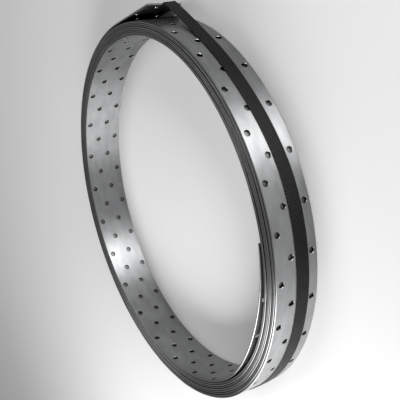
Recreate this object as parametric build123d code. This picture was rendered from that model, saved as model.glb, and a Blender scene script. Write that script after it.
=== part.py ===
"""A coil of perforated steel bracing strip, tied round with one plastic packing strap.

The coil lies on one end with its axis along Z, and the origin is on that axis, level with the lower edge
of the innermost turn. Angles turn from +X towards +Y. Lengths are in millimetres.
"""

import os
from math import acos, atan2, cos, degrees, hypot, radians, sin

from build123d import *

# Steel strip
strip_width = 40.0
strip_thickness = 1.5

# Nail holes in rows that share the strip's width, every second row half a pitch behind
hole_diameter = 5.0
hole_row_count = 4
hole_pitch = 39.2
plain_hole_sides = 6
outer_first_angle = 121.3
inner_first_angle = 159.35

# Pairs of round holes in the outer turn, by their place along it
round_pair_first = 2
round_pair_every = 4
round_pair_count = 6

# Coil, whose turns have slipped along the axis, each a little lower than the one inside it
eye_radius = 164.5
turn_count = 9
turn_gap = 0.1
turn_slip = 0.5

# Free end of the strip, cut off askew. It lifts off on a curve that is wider than the outer turn by its flare
lift_angle = 140.0
lift_flare = 11.45
tail_angle = 24.5
tail_length = 66.0
tail_tip_skew = 13.5
tail_first_hole = 13.5

# Packing strap
strap_width = 12.0
strap_thickness = 0.7
strap_clearance = 0.15
strap_row = 1
strap_lap_length = 35.0
strap_lap_angle = 205.0

# One overrun for every cut
overrun = 1.0

# Worked out from the sizes above
turn_pitch = strip_thickness + turn_gap
coil_radius = eye_radius + turn_count * turn_pitch - turn_gap
runout_radius = coil_radius + strip_thickness / 2
lift_radius = runout_radius + lift_flare
outer_base = -(turn_count - 1) * turn_slip
hole_radius = hole_diameter / 2
hole_row_spacing = strip_width / hole_row_count
tail_normal = tail_angle + 90


def polar(radius, angle, centre=(0, 0)):
    """The point at a radius and an angle about a centre."""
    return (centre[0] + radius * cos(radians(angle)), centre[1] + radius * sin(radians(angle)))


runout_centre = polar(strip_thickness / 2, lift_angle)
lift_centre = polar(runout_radius - lift_radius, lift_angle, runout_centre)
tail_root = polar(lift_radius - strip_thickness, tail_normal, lift_centre)
tail_root_top = polar(lift_radius, tail_normal, lift_centre)


def row_height(row):
    """How high a row of holes lies above the strip's lower edge."""
    return (row + 0.5) * hole_row_spacing


def tail_reach(height):
    """How far the free end runs past its root, at a height above the strip's lower edge."""
    return tail_length - tail_tip_skew * (strip_width - height) / strip_width


def wound_ring():
    """The turns as one turned solid: each turn's edges lie lower than those of the turn inside it."""
    lower_end = []
    upper_end = []
    for turn in range(turn_count):
        inner = eye_radius + turn * turn_pitch
        outer = coil_radius if turn == turn_count - 1 else inner + turn_pitch
        base = -turn * turn_slip
        lower_end += [(inner, base), (outer, base)]
        upper_end += [(inner, base + strip_width), (outer, base + strip_width)]
    section = make_face(Polyline(*lower_end, *reversed(upper_end), close=True))
    return revolve(Plane.XZ * section, Axis.Z)


def outer_runout():
    """The last turn, which swells over half the coil to one thickness and then lifts off on a wider curve."""
    buried = coil_radius - strip_thickness
    root_angle = degrees(atan2(tail_root[1], tail_root[0]))
    join_angle = lift_angle + 180
    edges = [
        Line(polar(buried, root_angle), tail_root),
        Line(tail_root, tail_root_top),
        CenterArc(lift_centre, lift_radius, tail_normal, lift_angle - tail_normal),
        CenterArc(runout_centre, runout_radius, lift_angle, 180),
        Line(polar(coil_radius, join_angle), polar(buried, join_angle)),
        CenterArc((0, 0), buried, root_angle, join_angle - root_angle),
    ]
    return Pos(0, 0, outer_base) * extrude(make_face(edges), strip_width)


def tail():
    """The straight free end, rooted in the run-out and longer at its upper edge."""
    along = (*polar(1, tail_angle), 0)
    inwards = (*polar(-1, tail_normal), 0)
    top_face = Plane((*tail_root_top, outer_base), x_dir=along, z_dir=inwards)
    lower_corner = (tail_reach(0), 0)
    upper_corner = (tail_reach(strip_width), strip_width)
    outline = Polyline((0, 0), lower_corner, upper_corner, (0, strip_width), close=True)
    return extrude(top_face * make_face(outline), strip_thickness)


def punch(depth, sides):
    """A tool for one nail hole, standing on its own origin: round, or with a few flats."""
    shape = RegularPolygon(hole_radius, sides, major_radius=False) if sides else Circle(hole_radius)
    return extrude(shape, depth)


def seat(x, y, height, angle):
    """Where a punch stands, and the level direction that it points in."""
    return Plane((x, y, height), x_dir=(0, 0, 1), z_dir=(*polar(1, angle), 0)).location


def holes_in_turn(first_angle, wall_radius, base, low, high, round_stations):
    """Tools for the holes all round one turn, between two radii. The even rows' pair is round where asked."""
    step = degrees(hole_pitch / wall_radius)
    plain_punch = punch(high - low, plain_hole_sides)
    round_punch = punch(high - low, 0)
    tools = []
    for row in range(hole_row_count):
        for station in range(int(360 // step)):
            angle = first_angle + (station - row % 2 / 2) * step
            is_round = row % 2 == 0 and station in round_stations
            tool = round_punch if is_round else plain_punch
            tools.append(seat(*polar(low, angle), base + row_height(row), angle) * tool)
    return tools


def holes_in_tail():
    """Tools for the holes right through the free end."""
    through = punch(strip_thickness + 2 * overrun, plain_hole_sides)
    below = polar(-overrun, tail_normal, tail_root)
    tools = []
    for row in range(hole_row_count):
        height = row_height(row)
        first = tail_first_hole + row % 2 / 2 * hole_pitch
        room = tail_reach(height) - hole_diameter - first
        for station in range(int(room // hole_pitch) + 1):
            place = polar(first + station * hole_pitch, tail_angle, below)
            tools.append(seat(*place, outer_base + height, tail_normal) * through)
    return tools


def steel_strip_coil():
    """The strip as coiled: ring, run-out and tail, with its nail holes punched one thickness deep."""
    body = wound_ring() + outer_runout() + tail()
    outer_floor = coil_radius - strip_thickness
    outer_top = hypot(*tail_root_top) + overrun
    inner_floor = eye_radius + strip_thickness
    round_stations = [round_pair_first + pair * round_pair_every for pair in range(round_pair_count)]
    tools = holes_in_turn(outer_first_angle, coil_radius, outer_base, outer_floor, outer_top, round_stations)
    tools += holes_in_turn(inner_first_angle, eye_radius, 0, eye_radius - overrun, inner_floor, ())
    return body - tools - holes_in_tail()


def strap_loop(lift):
    """What a taut loop encloses, a lift off the coil: round the rim, then straight to the tail's tip."""
    tip = polar(tail_reach(row_height(strap_row) + strap_width / 2), tail_angle, tail_root_top)
    rim_angle = degrees(atan2(tip[1], tip[0]) - acos(coil_radius / hypot(*tip)))
    join_angle = lift_angle + 180
    edges = [
        CenterArc((0, 0), coil_radius + lift, join_angle, rim_angle + 360 - join_angle),
        Line(polar(coil_radius + lift, rim_angle), polar(lift, rim_angle, tip)),
        CenterArc(tip, lift, rim_angle, tail_normal - rim_angle),
        Line(polar(lift, tail_normal, tip), polar(lift, tail_normal, tail_root_top)),
        CenterArc(lift_centre, lift_radius + lift, tail_normal, lift_angle - tail_normal),
        CenterArc(runout_centre, runout_radius + lift, lift_angle, 180),
    ]
    return make_face(edges)


def packing_strap():
    """A closed loop of flat strap over one row of holes, with a welded lap of two thicknesses at the back."""
    inside = strap_clearance
    outside = inside + strap_thickness
    lapped = outside + strap_thickness
    half_lap = degrees(strap_lap_length / 2 / runout_radius)
    far = coil_radius + tail_length
    lap_start = polar(far, strap_lap_angle - half_lap)
    lap_end = polar(far, strap_lap_angle + half_lap)
    sector = make_face(Polyline((0, 0), lap_start, lap_end, close=True))
    loop = strap_loop(outside) - strap_loop(inside)
    lap = (strap_loop(lapped) - strap_loop(inside)) & sector
    lower_edge = outer_base + row_height(strap_row) - strap_width / 2
    return Pos(0, 0, lower_edge) * extrude(loop + lap, strap_width)


os.makedirs("parts", exist_ok=True)
export_step(steel_strip_coil(), "parts/steel_strip_coil.step")
export_step(packing_strap(), "parts/packing_strap.step")
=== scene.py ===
"""A coil of perforated steel bracing strip and its packing strap, dressed for the photograph's view.

The frame is the part's own: metres, the coil's axis along Z, the floor 4 mm below the origin. Sizes below
are in millimetres and are made metres when a mesh is written. Angles turn from +X towards +Y.
"""

from math import acos, atan2, degrees, hypot, radians

import bpy
import numpy as np
from mathutils import Matrix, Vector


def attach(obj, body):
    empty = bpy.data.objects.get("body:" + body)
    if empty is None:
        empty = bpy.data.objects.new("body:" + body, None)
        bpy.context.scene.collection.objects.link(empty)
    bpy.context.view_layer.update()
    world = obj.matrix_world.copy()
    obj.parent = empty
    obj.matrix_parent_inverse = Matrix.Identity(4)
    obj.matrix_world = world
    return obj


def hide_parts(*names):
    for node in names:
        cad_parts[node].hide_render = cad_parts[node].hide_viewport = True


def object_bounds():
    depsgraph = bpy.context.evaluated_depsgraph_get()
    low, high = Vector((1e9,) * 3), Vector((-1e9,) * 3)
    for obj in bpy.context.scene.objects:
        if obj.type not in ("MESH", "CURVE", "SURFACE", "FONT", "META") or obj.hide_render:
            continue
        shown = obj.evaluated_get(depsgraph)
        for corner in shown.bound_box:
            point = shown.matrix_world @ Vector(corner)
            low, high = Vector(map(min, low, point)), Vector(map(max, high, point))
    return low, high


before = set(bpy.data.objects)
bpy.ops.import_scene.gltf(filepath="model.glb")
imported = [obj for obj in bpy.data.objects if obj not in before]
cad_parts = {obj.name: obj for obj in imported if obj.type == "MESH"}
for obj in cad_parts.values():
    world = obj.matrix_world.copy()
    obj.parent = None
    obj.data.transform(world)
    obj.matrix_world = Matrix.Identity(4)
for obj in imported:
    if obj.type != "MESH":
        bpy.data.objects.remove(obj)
cad_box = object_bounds()
scene = bpy.context.scene
scene.view_settings.view_transform = "Standard"
metre = 1000.0

# Steel strip: zinc-coated bracing strip, punched with four rows of nail holes and wound in a coil. Its turns
# are tight at the top of the picture, loose at the bottom and slip upwards at the right. The inner end has
# sprung away, and the outer end lifts off on a wider curve to a straight tail, cut off askew.
strip_width = 40.0
strip_thickness = 1.5
edge_chamfer = 0.32
rim_chamfer = 0.3
hole_radius = 2.5
row_count = 4
row_spacing = 10.0
cell_length = 19.58
tip_margin = 3.5
tip_skew = 13.5
coil_radius = 178.7
outer_base = -4.0
lift_angle = 140.0
lift_radius = 191.0
tail_angle = 24.5
tail_length = 66.0
turn_count = 9
turn_points = 1440
winding_angle = 3120.0
tight_gap = 0.04
loose_gap = 0.42
loosest_angle = 285.0
right_gap = 0.3
right_start = -25.0
right_end = 100.0
slow_wander = 0.0113
quick_wander = 0.0287
sprung_gap = 2.8
gap_before_end = 72.0
gap_past_end = 4.0
slip_rise = 1.2
slip_angle = 12.0
wander_rise = 0.25
rise_wander = 0.37
sprung_rise = 2.4
rise_before_end = 85.0
rise_past_end = 10.0


def on_circle(radius, angle, centre=(0.0, 0.0)):
    """The point at a radius and an angle in degrees about a centre, or a row of points for many angles."""
    turn = np.radians(angle)
    return np.asarray(centre) + radius * np.stack([np.cos(turn), np.sin(turn)], axis=-1)


def swell(position, start, end):
    """A hump that is nothing at start, one half way and nothing again at end: a squared sine."""
    share = np.clip((position - start) / (end - start), 0.0, 1.0)
    return np.sin(np.pi * share) ** 2


def strip_path():
    """The strip's middle line from the tail's tip inwards: distance, x, y, normal x, normal y and height.

    The turned angle is counted inwards from where the strip lifts off. The outer turn's radius is the
    coil's, plus a thickness that fades over half a turn. Each turn inside it lies a thickness and a gap
    further in, where the gap grows from almost nothing at the top to half a millimetre at the bottom and
    wanders from turn to turn. At the right each turn stands higher than the one outside it. Towards the
    inner end, where the strip has sprung away, the gap and the height swell.
    """
    lift_points = 110
    tail_points = 66
    turned = np.arange(turn_count * turn_points).reshape(turn_count, turn_points) * 360.0 / turn_points
    angle = lift_angle + turned
    looseness = (0.5 + 0.5 * np.cos(np.radians(angle - loosest_angle))) ** 1.5
    wander = 1.0 + 0.45 * np.sin(turned * slow_wander) + 0.35 * np.sin(turned * quick_wander + 1.0)
    at_right = swell((angle + 180.0) % 360.0 - 180.0, right_start, right_end)
    gap = tight_gap + (loose_gap * looseness + right_gap * at_right) * wander
    gap += sprung_gap * swell(turned, winding_angle - gap_before_end, winding_angle + gap_past_end)
    fade = np.where(turned[0] < 180.0, 0.5 + 0.5 * np.cos(np.radians(turned[0])), 0.0)
    outer = coil_radius + (strip_thickness + gap[1, 0]) * fade
    inset = np.cumsum(np.where(turned < 360.0, 0.0, strip_thickness + gap), axis=0)
    radius = (outer - inset - strip_thickness / 2).ravel()
    slipped = (0.5 + 0.5 * np.cos(np.radians(angle - slip_angle))) ** 2
    rise = slip_rise * slipped * turned / winding_angle
    rise = rise + wander_rise - wander_rise * np.cos(np.radians(turned * rise_wander))
    rise += sprung_rise * swell(turned, winding_angle - rise_before_end, winding_angle + rise_past_end)
    keep = turned.ravel() <= winding_angle
    wound = on_circle(radius[keep, None], angle.ravel()[keep])
    lift_centre = on_circle(radius[0] - lift_radius + strip_thickness / 2, lift_angle)
    lift_turn = np.linspace(tail_angle + 90, lift_angle, lift_points)[:-1]
    lifted = on_circle(lift_radius - strip_thickness / 2, lift_turn, lift_centre)
    tail = lifted[0] + np.linspace(tail_length, 0.0, tail_points)[:-1, None] * on_circle(1.0, tail_angle)
    middle = np.concatenate([tail, lifted, wound])
    height = outer_base + np.concatenate([np.zeros(len(tail) + len(lifted)), rise.ravel()[keep]])
    step = np.gradient(middle, axis=0)
    step /= np.hypot(*step.T)[:, None]
    distance = np.concatenate([[0.0], np.cumsum(np.hypot(*np.diff(middle, axis=0).T))])
    return distance, middle[:, 0], middle[:, 1], step[:, 1], -step[:, 0], height


path = strip_path()


def on_strip(along, across, side):
    """Points of the strip: a distance along its middle line, half a thickness to a side, and up its width."""
    x, y, normal_x, normal_y, height = (np.interp(along, path[0], values) for values in path[1:])
    out = side * strip_thickness / 2
    return np.stack([x + out * normal_x, y + out * normal_y, across + height], axis=-1)


def punched_strip():
    """The strip as quads: a lattice of cells, each plain or with two rings of twelve points for its hole.

    A cell is half a hole pitch long and one row wide, and holds a hole where its column and row are both
    even or both odd. The cell's twelve border points join the hole's mouth, and the mouth slopes down to
    the hole's wall. The first column is sheared to the tip. The same net lies on both faces; the long
    edges are chamfered, and bands of quads line the holes and close the edges and the two ends. A quad's
    finish is 0 on the faces and in the holes, and 1 on the edges and ends.
    """
    cell_steps = 4
    row_steps = 2
    ring_points = 12
    ring_start = 210.0
    columns = int((path[0][-1] - tip_margin) // cell_length)
    line = np.arange(cell_steps * columns + 1)[:, None]
    height = np.arange(row_steps * row_count + 1) * row_spacing / row_steps
    tip = tip_skew * (1 - height / strip_width)
    grid_along = tip_margin + line * cell_length / cell_steps + np.zeros(len(height))
    grid_along[:cell_steps] = tip + (tip_margin + cell_length - tip) * line[:cell_steps] / cell_steps
    grid_across = np.clip(height, edge_chamfer, strip_width - edge_chamfer) + np.zeros(grid_along.shape)
    column, row = np.meshgrid(np.arange(columns), np.arange(row_count), indexing="ij")
    punched = (column + row) % 2 == 0
    punched[0, 0] = False
    hole_column = column[punched]
    hole_row = row[punched]
    turn = np.radians(ring_start + 360.0 / ring_points * np.arange(ring_points))
    hole_along = tip_margin + (hole_column[:, None] + 0.5) * cell_length
    hole_across = (hole_row[:, None] + 0.5) * row_spacing
    mouth = hole_radius + rim_chamfer
    end_lines = np.stack([grid_along[:, 0], grid_along[:, -1]])
    mouth_along = hole_along + mouth * np.cos(turn)
    wall_along = hole_along + hole_radius * np.cos(turn)
    mouth_across = hole_across + mouth * np.sin(turn)
    wall_across = hole_across + hole_radius * np.sin(turn)
    end_across = np.array([[0.0], [strip_width]]) + 0 * end_lines
    along = [grid_along, mouth_along, wall_along, end_lines]
    across = [grid_across, mouth_across, wall_across, end_across]
    shares = (1.0, 1.0, 1 - 2 * rim_chamfer / strip_thickness, 1 - 2 * edge_chamfer / strip_thickness)
    side = np.concatenate([np.full(part.size, share) for part, share in zip(along, shares)])
    starts = np.cumsum([0] + [part.size for part in along])
    node, mouth_ring, wall_ring, edge = (
        start + np.arange(part.size).reshape(part.shape) for start, part in zip(starts, along)
    )
    along = np.concatenate([part.ravel() for part in along])
    across = np.concatenate([part.ravel() for part in across])
    size = len(along)

    plain_line = column[~punched][:, None, None] * cell_steps + np.arange(cell_steps)[None, :, None]
    plain_level = row[~punched][:, None, None] * row_steps + np.arange(row_steps)[None, None, :]
    first = plain_line.repeat(row_steps, axis=2).ravel()
    second = plain_level.repeat(cell_steps, axis=1).ravel()
    plain = np.stack([node[first, second], node[first + 1, second],
                      node[first + 1, second + 1], node[first, second + 1]], axis=-1)
    border_along = np.array([0, 1, 2, 3, 4, 4, 4, 3, 2, 1, 0, 0])
    border_across = np.array([0, 0, 0, 0, 0, 1, 2, 2, 2, 2, 2, 1])
    border_line = hole_column[:, None] * cell_steps + border_along
    border_level = hole_row[:, None] * row_steps + border_across
    border = node[border_line, border_level]

    def between(outside, inside):
        """Quads between two rings of points about each hole."""
        corners = [outside, np.roll(outside, -1, axis=1), np.roll(inside, -1, axis=1), inside]
        return np.stack(corners, axis=-1).reshape(-1, 4)

    def ladder(lower, upper):
        """Quads between two lines of points along the strip, one below the other."""
        return np.stack([lower[:-1], lower[1:], upper[1:], upper[:-1]], axis=-1)

    face = np.concatenate([plain, between(border, mouth_ring), between(mouth_ring, wall_ring),
                           ladder(edge[0], node[:, 0]), ladder(node[:, -1], edge[1])])
    tip_line = np.concatenate([edge[0, :1], node[0], edge[1, :1]])
    last_line = np.concatenate([edge[0, -1:], node[-1], edge[1, -1:]])
    bands = [ladder(edge[0] + size, edge[0]), ladder(edge[1], edge[1] + size),
             ladder(tip_line, tip_line + size), ladder(last_line + size, last_line)]
    lining = between(wall_ring, wall_ring + size)
    quads = np.concatenate([face, face[:, ::-1] + size, lining, *bands])
    edge_count = 2 * cell_steps * columns
    face_count = len(face) - edge_count
    band_count = len(quads) - 2 * len(face) - len(lining)
    counts = [face_count, edge_count, face_count, edge_count, len(lining), band_count]
    finish = np.repeat([0, 1, 0, 1, 0, 1], counts)
    points = np.concatenate([on_strip(along, across, side), on_strip(along, across, -side)])
    return points, quads, np.tile(np.stack([across, along], axis=-1), (2, 1)), finish


def quad_mesh(name, points, quads, chart, finish=0):
    """An object of four-sided faces from points and a flat chart of them, both in millimetres.

    Loose points are left out, and each face has the number of its finish.
    """
    sharp_angle = 35.0
    used, quads = np.unique(quads, return_inverse=True)
    quads = quads.reshape(-1, 4)
    mesh = bpy.data.meshes.new(name)
    mesh.vertices.add(len(used))
    mesh.vertices.foreach_set("co", (points[used] / metre).ravel())
    mesh.loops.add(quads.size)
    mesh.loops.foreach_set("vertex_index", quads.ravel())
    mesh.polygons.add(len(quads))
    mesh.polygons.foreach_set("loop_start", np.arange(0, quads.size, 4))
    mesh.polygons.foreach_set("use_smooth", np.ones(len(quads), bool))
    mesh.polygons.foreach_set("material_index", np.full(len(quads), finish, np.int32))
    mesh.update(calc_edges=True)
    mesh.validate()
    uv = mesh.uv_layers.new(name="chart")
    uv.data.foreach_set("uv", (chart[used][quads.ravel()] / metre).ravel())
    mesh.set_sharp_from_angle(angle=radians(sharp_angle))
    made = bpy.data.objects.new(name, mesh)
    scene.collection.objects.link(made)
    return made


def add(material, kind, **inputs):
    """A node of a kind in a material, with some of its inputs set."""
    node = material.node_tree.nodes.new(kind)
    for name, value in inputs.items():
        node.inputs[name.replace("_", " ")].default_value = value
    return node


def join(material, *pairs):
    """Links from outputs to inputs."""
    for output, socket in pairs:
        material.node_tree.links.new(output, socket)


def rolled_zinc(name, lined, dull, shade_power):
    """Bright zinc on rolled steel: fine lines along the strip, faint clouds in the coating, a blurred shine.

    The more lined it is, the wider the shine is across the lines. Dull is its least roughness, and the last
    argument says how strongly painted shade darkens the colour in the gaps and holes, as a power of the
    ambient occlusion there.
    """
    dull_range = 0.12
    material = bpy.data.materials.new(name)
    material.use_nodes = True
    shader = material.node_tree.nodes["Principled BSDF"]
    shader.inputs["Metallic"].default_value = 1.0
    shader.inputs["Anisotropic"].default_value = lined
    chart = add(material, "ShaderNodeUVMap")
    chart.uv_map = "chart"
    tangent = add(material, "ShaderNodeTangent")
    tangent.direction_type = "UV_MAP"
    tangent.uv_map = "chart"
    lines_at = add(material, "ShaderNodeMapping", Scale=(1900.0, 9.0, 1.0))
    lines = add(material, "ShaderNodeTexNoise", Scale=1.0, Detail=3.0, Roughness=0.6)
    clouds_at = add(material, "ShaderNodeMapping", Scale=(110.0, 45.0, 1.0))
    clouds = add(material, "ShaderNodeTexNoise", Scale=1.0, Detail=4.0, Roughness=0.55)
    tone = add(material, "ShaderNodeValToRGB")
    tone.color_ramp.elements[0].position = 0.3
    tone.color_ramp.elements[0].color = (0.276, 0.279, 0.283, 1.0)
    tone.color_ramp.elements[1].position = 0.7
    tone.color_ramp.elements[1].color = (0.362, 0.367, 0.371, 1.0)
    rough = add(material, "ShaderNodeMapRange")
    rough.inputs["To Min"].default_value = dull
    rough.inputs["To Max"].default_value = dull + dull_range
    # Painted shade: ambient occlusion darkens the colour in the gaps between turns and in the holes.
    occlusion_shade = add(material, "ShaderNodeAmbientOcclusion", Distance=0.006)
    occlusion_shade.only_local = True
    occlusion_shade.samples = 8
    shade_curve = add(material, "ShaderNodeGamma", Gamma=shade_power)
    shaded_tone = add(material, "ShaderNodeMix")
    shaded_tone.data_type = "RGBA"
    shaded_tone.blend_type = "MULTIPLY"
    shaded_tone.inputs["Factor"].default_value = 1.0
    bump = add(material, "ShaderNodeBump", Strength=0.12, Distance=0.0001)
    join(
        material,
        (chart.outputs["UV"], lines_at.inputs["Vector"]),
        (chart.outputs["UV"], clouds_at.inputs["Vector"]),
        (lines_at.outputs["Vector"], lines.inputs["Vector"]),
        (clouds_at.outputs["Vector"], clouds.inputs["Vector"]),
        (clouds.outputs["Fac"], tone.inputs["Fac"]),
        (tone.outputs["Color"], shaded_tone.inputs["A"]),
        (occlusion_shade.outputs["Color"], shade_curve.inputs["Color"]),
        (shade_curve.outputs["Color"], shaded_tone.inputs["B"]),
        (shaded_tone.outputs["Result"], shader.inputs["Base Color"]),
        (lines.outputs["Fac"], rough.inputs["Value"]),
        (rough.outputs["Result"], shader.inputs["Roughness"]),
        (lines.outputs["Fac"], bump.inputs["Height"]),
        (bump.outputs["Normal"], shader.inputs["Normal"]),
        (tangent.outputs["Tangent"], shader.inputs["Tangent"]),
    )
    return material


steel_strip = quad_mesh("steel_strip", *punched_strip())
# The last number sets the painted shade in gaps and holes; the slit edges get a stronger one than the faces.
steel_strip.data.materials.append(rolled_zinc("rolled_face", 0.8, 0.36, 2.0))
steel_strip.data.materials.append(rolled_zinc("slit_edge", 0.0, 0.25, 5.0))
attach(steel_strip, "root")
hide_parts("steel_strip_coil")

# Packing strap: one black polypropylene band, embossed all over and pulled taut round the coil, over a row
# of holes and across the tail's tip. It bows sideways before the tip, and its ends are welded in a short lap
# round the back.
strap_width = 12.0
strap_thickness = 0.7
strap_clearance = 0.1
strap_middle = 11.0
strap_bow = 4.2
bow_start = 25.0
bow_end = 95.0
strap_reach = 59.6
lap_angle = 205.0
lap_length = 35.0
swollen_radius = coil_radius + strip_thickness / 2
swollen_centre = on_circle(strip_thickness / 2, lift_angle)


def strap_path(lift):
    """The taut loop at a lift off the steel, as points and the angles of their normals.

    It goes round the lifted curve and the swollen half turn, round the rim, straight to the tail's tip, over
    the tip's corner and straight back down the tail.
    """
    lift_points = 60
    rim_points = 240
    run_points = 24
    tip_points = 9
    lifted_centre = on_circle(swollen_radius - lift_radius, lift_angle, swollen_centre)
    tip = on_circle(lift_radius, tail_angle + 90, lifted_centre) + on_circle(strap_reach, tail_angle)
    rim_angle = degrees(atan2(tip[1], tip[0]) - acos(coil_radius / hypot(*tip)))
    lifted_turn = np.linspace(tail_angle + 90, lift_angle, lift_points)
    swollen_turn = np.linspace(lift_angle, lift_angle + 180, rim_points)[1:]
    rim_turn = np.linspace(lift_angle + 180, rim_angle + 360, rim_points)[1:]
    tip_turn = np.linspace(rim_angle, tail_angle + 90, tip_points)
    run = np.linspace(0.0, 1.0, run_points + 2)[1:-1, None]
    lifted = on_circle(lift_radius + lift, lifted_turn, lifted_centre)
    swollen = on_circle(swollen_radius + lift, swollen_turn, swollen_centre)
    rim = on_circle(coil_radius + lift, rim_turn)
    over = on_circle(lift, tip_turn, tip)
    out_run = rim[-1] + (over[0] - rim[-1]) * run
    back_run = over[-1] + (lifted[0] - over[-1]) * run
    points = np.concatenate([lifted, swollen, rim, out_run, over, back_run])
    out_turn = np.full(run_points, rim_angle)
    back_turn = np.full(run_points, tail_angle + 90)
    return points, np.concatenate([lifted_turn, swollen_turn, rim_turn, out_turn, tip_turn, back_turn])


def strap_section():
    """The strap's cut, as places across its width and off its middle. Its two long edges are rounded."""
    across = np.array([-0.5, -0.488, -0.46, -0.3, -0.1, 0.1, 0.3, 0.46, 0.488, 0.5]) * strap_width
    off = np.array([0.1, 0.36, 0.5, 0.5, 0.5, 0.5, 0.5, 0.5, 0.36, 0.1]) * strap_thickness
    return np.concatenate([across, across[::-1]]), np.concatenate([off, -off[::-1]])


def carried_along(points, normals, thinning):
    """The strap's cut carried along a path: out along the normal, up by its place in the cut and the bow."""
    across, off = strap_section()
    out = off[None, :] * thinning[:, None]
    turn = np.radians(normals)[:, None]
    x = points[:, :1] + out * np.cos(turn)
    y = points[:, 1:] + out * np.sin(turn)
    bow = strap_bow * swell(np.degrees(np.arctan2(points[:, 1:], points[:, :1])), bow_start, bow_end)
    z = strap_middle + bow + np.broadcast_to(across, out.shape)
    step = np.hypot(*np.diff(points, axis=0).T)
    along = np.broadcast_to(np.concatenate([[0.0], np.cumsum(step)])[:, None], out.shape)
    chart = np.stack([np.broadcast_to(across, out.shape), along], axis=-1)
    return np.stack([x, y, z], axis=-1), chart


def welded_strap():
    """The closed loop, and over it the lap, whose two ends are pressed thin."""
    lap_points = 60
    thinnest = 0.15
    thin_points = 3.0
    loop_points, loop_normals = strap_path(strap_clearance + strap_thickness / 2)
    loop, loop_chart = carried_along(loop_points, loop_normals, np.ones(len(loop_points)))
    node = np.arange(loop.shape[0] * loop.shape[1]).reshape(loop.shape[:2])
    beyond = np.roll(node, -1, axis=0)
    beside = np.roll(node, -1, axis=1)
    corner = np.roll(beyond, -1, axis=1)
    loop_quads = np.stack([node, beside, corner, beyond], axis=-1).reshape(-1, 4)

    half = degrees(lap_length / 2 / coil_radius)
    turn = np.linspace(lap_angle - half, lap_angle + half, lap_points)
    middle = on_circle(swollen_radius + strap_clearance + 1.5 * strap_thickness, turn, swollen_centre)
    place = np.arange(lap_points)
    edge = np.minimum(place, place[::-1])
    lap, lap_chart = carried_along(middle, turn, np.clip(thinnest + edge / thin_points, 0.0, 1.0))
    lap_node = node.size + np.arange(lap.shape[0] * lap.shape[1]).reshape(lap.shape[:2])
    beside = np.roll(lap_node, -1, axis=1)
    lap_quads = np.stack([lap_node[:-1], beside[:-1], beside[1:], lap_node[1:]], axis=-1).reshape(-1, 4)
    side_points = lap_node.shape[1] // 2
    top = lap_node[:, :side_points]
    under = lap_node[:, :side_points - 1:-1]
    start = np.stack([top[0, :-1], under[0, :-1], under[0, 1:], top[0, 1:]], axis=-1)
    finish = np.stack([top[-1, :-1], top[-1, 1:], under[-1, 1:], under[-1, :-1]], axis=-1)
    points = np.concatenate([loop.reshape(-1, 3), lap.reshape(-1, 3)])
    chart = np.concatenate([loop_chart.reshape(-1, 2), lap_chart.reshape(-1, 2)])
    return points, np.concatenate([loop_quads, lap_quads, start, finish]), chart


def embossed_black():
    """Black polypropylene pressed with a diamond pattern: two crossing waves.

    The tops are painted a little lighter as a painted highlight, and the shine is drawn out across the band.
    """
    material = bpy.data.materials.new("embossed_black")
    material.use_nodes = True
    shader = material.node_tree.nodes["Principled BSDF"]
    shader.inputs["Specular IOR Level"].default_value = 0.2
    shader.inputs["Roughness"].default_value = 0.42
    shader.inputs["Anisotropic"].default_value = 0.9
    chart = add(material, "ShaderNodeUVMap")
    chart.uv_map = "chart"
    tangent = add(material, "ShaderNodeTangent")
    tangent.direction_type = "UV_MAP"
    tangent.uv_map = "chart"
    rising = add(material, "ShaderNodeMapping", Rotation=(0.0, 0.0, radians(45)))
    falling = add(material, "ShaderNodeMapping", Rotation=(0.0, 0.0, radians(-45)))
    rising_wave = add(material, "ShaderNodeTexWave", Scale=165.0)
    falling_wave = add(material, "ShaderNodeTexWave", Scale=165.0)
    crossing = add(material, "ShaderNodeMath")
    crossing.operation = "MULTIPLY"
    # Painted highlight: the tops of the diamond pattern are coloured lighter than its hollows.
    tone = add(material, "ShaderNodeValToRGB")
    tone.color_ramp.elements[0].position = 0.3
    tone.color_ramp.elements[0].color = (0.002, 0.002, 0.002, 1.0)
    tone.color_ramp.elements[1].position = 0.95
    tone.color_ramp.elements[1].color = (0.005, 0.005, 0.005, 1.0)
    bump = add(material, "ShaderNodeBump", Strength=0.8, Distance=0.0004)
    join(
        material,
        (chart.outputs["UV"], rising.inputs["Vector"]),
        (chart.outputs["UV"], falling.inputs["Vector"]),
        (rising.outputs["Vector"], rising_wave.inputs["Vector"]),
        (falling.outputs["Vector"], falling_wave.inputs["Vector"]),
        (rising_wave.outputs["Fac"], crossing.inputs[0]),
        (falling_wave.outputs["Fac"], crossing.inputs[1]),
        (crossing.outputs["Value"], tone.inputs["Fac"]),
        (tone.outputs["Color"], shader.inputs["Base Color"]),
        (crossing.outputs["Value"], bump.inputs["Height"]),
        (bump.outputs["Normal"], shader.inputs["Normal"]),
        (tangent.outputs["Tangent"], shader.inputs["Tangent"]),
    )
    return material


packing_strap = quad_mesh("packing_band", *welded_strap())
packing_strap.data.materials.append(embossed_black())
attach(packing_strap, "root")
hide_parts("packing_strap")

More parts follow.
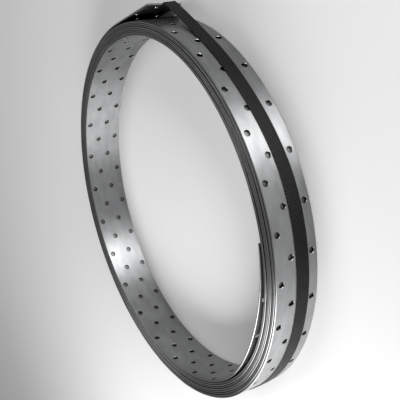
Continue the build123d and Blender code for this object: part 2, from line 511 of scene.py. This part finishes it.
# Floor: a plain pale studio floor under the coil.
floor_level = cad_box[0][2]
floor_reach = 6.0
floor_mesh = bpy.data.meshes.new("floor")
floor_corners = [
    (-floor_reach, -floor_reach, floor_level),
    (floor_reach, -floor_reach, floor_level),
    (floor_reach, floor_reach, floor_level),
    (-floor_reach, floor_reach, floor_level),
]
floor_mesh.from_pydata(floor_corners, [], [(0, 1, 2, 3)])
floor = bpy.data.objects.new("floor", floor_mesh)
scene.collection.objects.link(floor)
pale_floor = bpy.data.materials.new("pale_floor")
pale_floor.use_nodes = True
floor_shader = pale_floor.node_tree.nodes["Principled BSDF"]
floor_shader.inputs["Base Color"].default_value = (0.6, 0.6, 0.6, 1.0)
floor_shader.inputs["Roughness"].default_value = 0.9
floor_shader.inputs["Specular IOR Level"].default_value = 0.0
floor_mesh.materials.append(pale_floor)

# Light: two soft boxes low beside the coil draw the bands on the steel, and a small one behind it lights
# the strip's edges. A wide one overhead fills in.
world = bpy.data.worlds.new("studio")
world.use_nodes = True
world.node_tree.nodes["Background"].inputs["Color"].default_value = (0.08, 0.08, 0.08, 1.0)
scene.world = world


def soft_box(name, place, aim, width, height, watts):
    """A soft box of a width and a height at a place in metres, turned to face a point."""
    lamp = bpy.data.lights.new(name, "AREA")
    lamp.shape = "RECTANGLE"
    lamp.size = width
    lamp.size_y = height
    lamp.energy = watts
    made = bpy.data.objects.new(name, lamp)
    backward = np.array(place, float) - np.array(aim, float)
    backward /= np.linalg.norm(backward)
    across = np.cross((0.0, 0.0, 1.0), backward)
    across /= np.linalg.norm(across)
    upward = np.cross(backward, across)
    turned = np.eye(4)
    turned[:3, :4] = np.stack([across, upward, backward, np.array(place, float)], axis=-1)
    made.matrix_world = Matrix(turned.tolist())
    scene.collection.objects.link(made)


soft_box("box_by_camera", (0.77, 1.06, 0.3), (0, 0, 0.03), 0.5, 0.45, 22.4)
soft_box("box_below", (0.31, -0.53, 0.32), (-0.07, 0.04, 0.03), 0.75, 0.3, 7.8)
soft_box("box_behind", (-0.6, -0.67, 0.44), (0, 0, 0.02), 0.2, 0.2, 0.15)
soft_box("box_overhead", (-1.2, 0.0, 2.4), (-0.8, 0, 0), 2.0, 2.0, 35.0)

# Camera: the photograph's view, close above the coil and rolled, so that the coil stands upright in the
# picture.
camera = bpy.data.objects.new("camera", bpy.data.cameras.new("camera"))
camera.data.sensor_width = 36.0
camera.data.lens = 62.93
camera_right = (0.5347, 0.0, -0.845)
camera_up = (-0.3795, 0.8935, -0.2401)
camera_back = (0.755, 0.4491, 0.4778)
camera_place = (0.51407, 0.30941, 0.316)
camera.matrix_world = Matrix([
    (camera_right[i], camera_up[i], camera_back[i], camera_place[i]) for i in range(3)
] + [(0.0, 0.0, 0.0, 1.0)])
scene.collection.objects.link(camera)
scene.camera = camera
